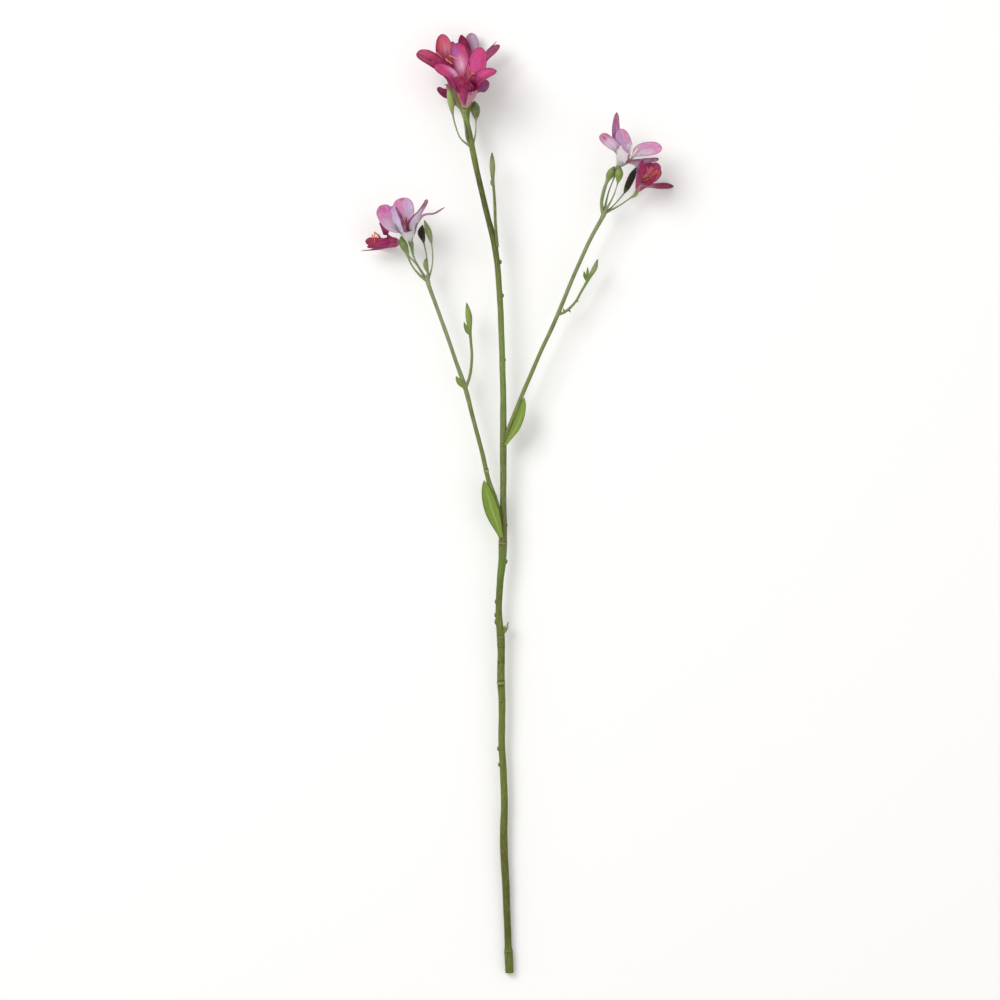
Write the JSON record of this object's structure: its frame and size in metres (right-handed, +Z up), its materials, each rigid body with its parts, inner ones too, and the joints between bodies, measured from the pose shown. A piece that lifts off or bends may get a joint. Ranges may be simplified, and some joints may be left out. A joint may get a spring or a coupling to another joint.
{
  "type": "bramble lily stem",
  "caption": "Cut spray of magenta and pale lilac trumpet blooms with orange stamens, green and dark buds, side branches and clasping leaves, lying flat.",
  "frame": {"origin": "on the surface the spray lies on, under the middle of its bounding box", "axes": "+Y along the stem from the cut end towards the flowers, +X across the stem to the side of the longer right branch as the picture shows it, +Z up from the surface"},
  "size_m": [0.2512, 0.7538, 0.0675],
  "materials": {
    "stem": "fresh green stem skin, olive, faintly ribbed, satin",
    "leaf": "fresh green leaf, fine lengthwise veins, satin",
    "bud": "fresh yellow-green bud and flower stalk, smooth, satin",
    "dark_bud": "nearly black green bud, matte",
    "magenta_petal": "raspberry petal with plum edge and fine veins, matte",
    "pale_petal": "petal that runs from grey-white over lilac to pink, fine dark specks, matte",
    "stamen": "orange filament and anther, matte",
    "cream_stamen": "cream filament with dark-tipped anther, matte"
  },
  "bodies": {
    "root": {"main_stem": "stem", "left_branch": "stem", "right_branch": "stem", "left_leaf": "leaf", "right_leaf": "leaf", "top_head": "bud", "left_head": "bud", "right_head": "bud", "left_dark_bud": "dark_bud", "right_dark_bud": "dark_bud", "top_front_petals": "magenta_petal", "top_front_stamens": "stamen", "top_left_petals": "magenta_petal", "top_left_stamens": "stamen", "top_back_petals": "magenta_petal", "top_back_stamens": "stamen", "top_small_petals": "magenta_petal", "top_small_stamens": "stamen", "left_pale_petals": "pale_petal", "left_pale_stamens": "stamen", "left_magenta_petals": "magenta_petal", "left_magenta_stamens": "stamen", "right_pale_petals": "pale_petal", "right_pale_stamens": "cream_stamen", "right_magenta_petals": "magenta_petal", "right_magenta_stamens": "stamen"}
  },
  "joints": []
}
